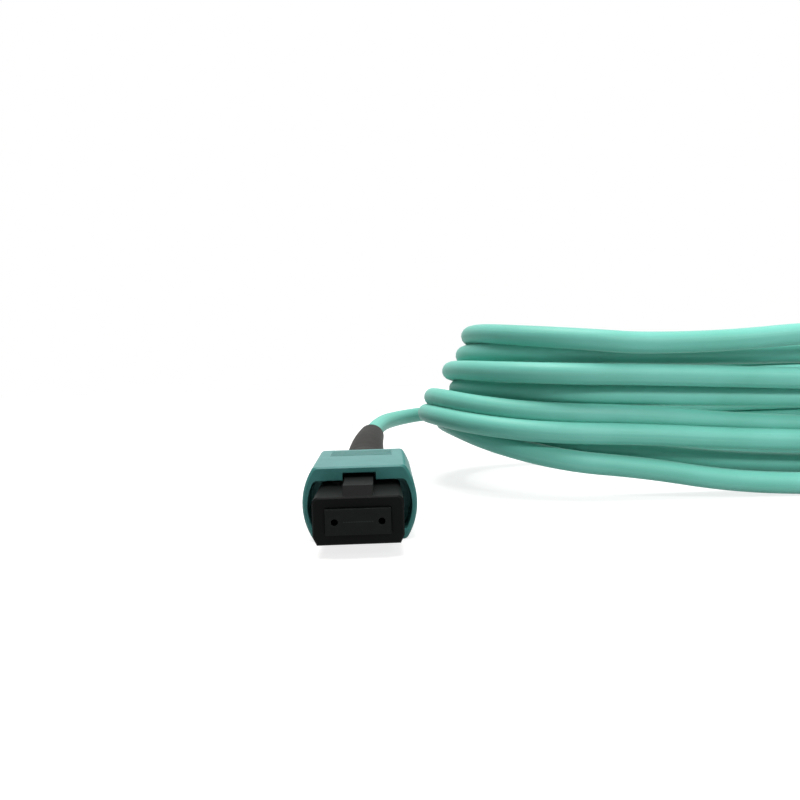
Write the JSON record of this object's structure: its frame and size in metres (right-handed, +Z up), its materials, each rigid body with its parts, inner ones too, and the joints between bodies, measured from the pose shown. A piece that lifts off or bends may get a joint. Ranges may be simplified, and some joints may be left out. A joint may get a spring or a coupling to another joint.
{
  "type": "mpo fibre connector",
  "caption": "Multi-fibre push-on plug with a sliding coupling sleeve, spring-loaded ferrule and strain-relief boot, on a coiled round patch cord with a second plug.",
  "frame": {"origin": "on the table under the middle of the first plug, half way from its ferrule's face to the end of its crimp post", "axes": "+Y runs from the ferrule's face back towards the boot, so the plug mates towards -Y; +Z is up and the key is on top"},
  "size_m": [0.14, 0.0817, 0.0265],
  "materials": {
    "sleeve": "moulded aqua, fine satin texture",
    "plug": "moulded black, satin",
    "ferrule": "glass-filled black, polished end face",
    "soft_grey": "soft silicone",
    "fibre": "acrylate-coated fibres",
    "keeper": "stamped stainless steel",
    "spring": "bright drawn spring wire",
    "crimp": "crimped, satin",
    "boot": "moulded thermoplastic elastomer, matte",
    "cable": "extruded aqua jacket, soft sheen"
  },
  "bodies": {
    "plug": {"plug_housing": "plug", "rear_body": "plug", "crimp_ring": "crimp", "strain_relief_boot": "boot", "left_sleeve_spring": "spring", "right_sleeve_spring": "spring", "main_spring": "spring", "cable_lead": "cable", "cable_coil": "cable", "cable_tail": "cable", "far_plug_housing": "plug", "far_rear_body": "plug", "far_crimp_ring": "crimp", "far_strain_relief_boot": "boot", "far_left_sleeve_spring": "spring", "far_right_sleeve_spring": "spring", "far_main_spring": "spring"},
    "sleeve": {"coupling_sleeve": "sleeve"},
    "ferrule": {"mt_ferrule": "ferrule", "ferrule_boot": "soft_grey", "fibre_bundle": "fibre", "pin_keeper": "keeper"},
    "far_sleeve": {"far_coupling_sleeve": "sleeve"},
    "far_ferrule": {"far_mt_ferrule": "ferrule", "far_ferrule_boot": "soft_grey", "far_fibre_bundle": "fibre", "far_pin_keeper": "keeper"}
  },
  "joints": [
    {"name": "sleeve_slide", "type": "slide", "parent": "plug", "child": "sleeve", "axis": [0, 1, 0], "range_m": [0, 0.0018], "stiffness_N_per_m": 600, "springref_m": -0.004, "deforming": ["left_sleeve_spring", "right_sleeve_spring"]},
    {"name": "ferrule_slide", "type": "slide", "parent": "plug", "child": "ferrule", "axis": [0, 1, 0], "range_m": [0, 0.0008], "stiffness_N_per_m": 2000, "springref_m": -0.004, "deforming": ["main_spring"]},
    {"name": "far_sleeve_slide", "type": "slide", "parent": "plug", "child": "far_sleeve", "axis": [0, 1, 0], "range_m": [0, 0.0018], "stiffness_N_per_m": 600, "springref_m": -0.004, "deforming": ["far_left_sleeve_spring", "far_right_sleeve_spring"]},
    {"name": "far_ferrule_slide", "type": "slide", "parent": "plug", "child": "far_ferrule", "axis": [0, 1, 0], "range_m": [0, 0.0008], "stiffness_N_per_m": 2000, "springref_m": -0.004, "deforming": ["far_main_spring"]}
  ]
}
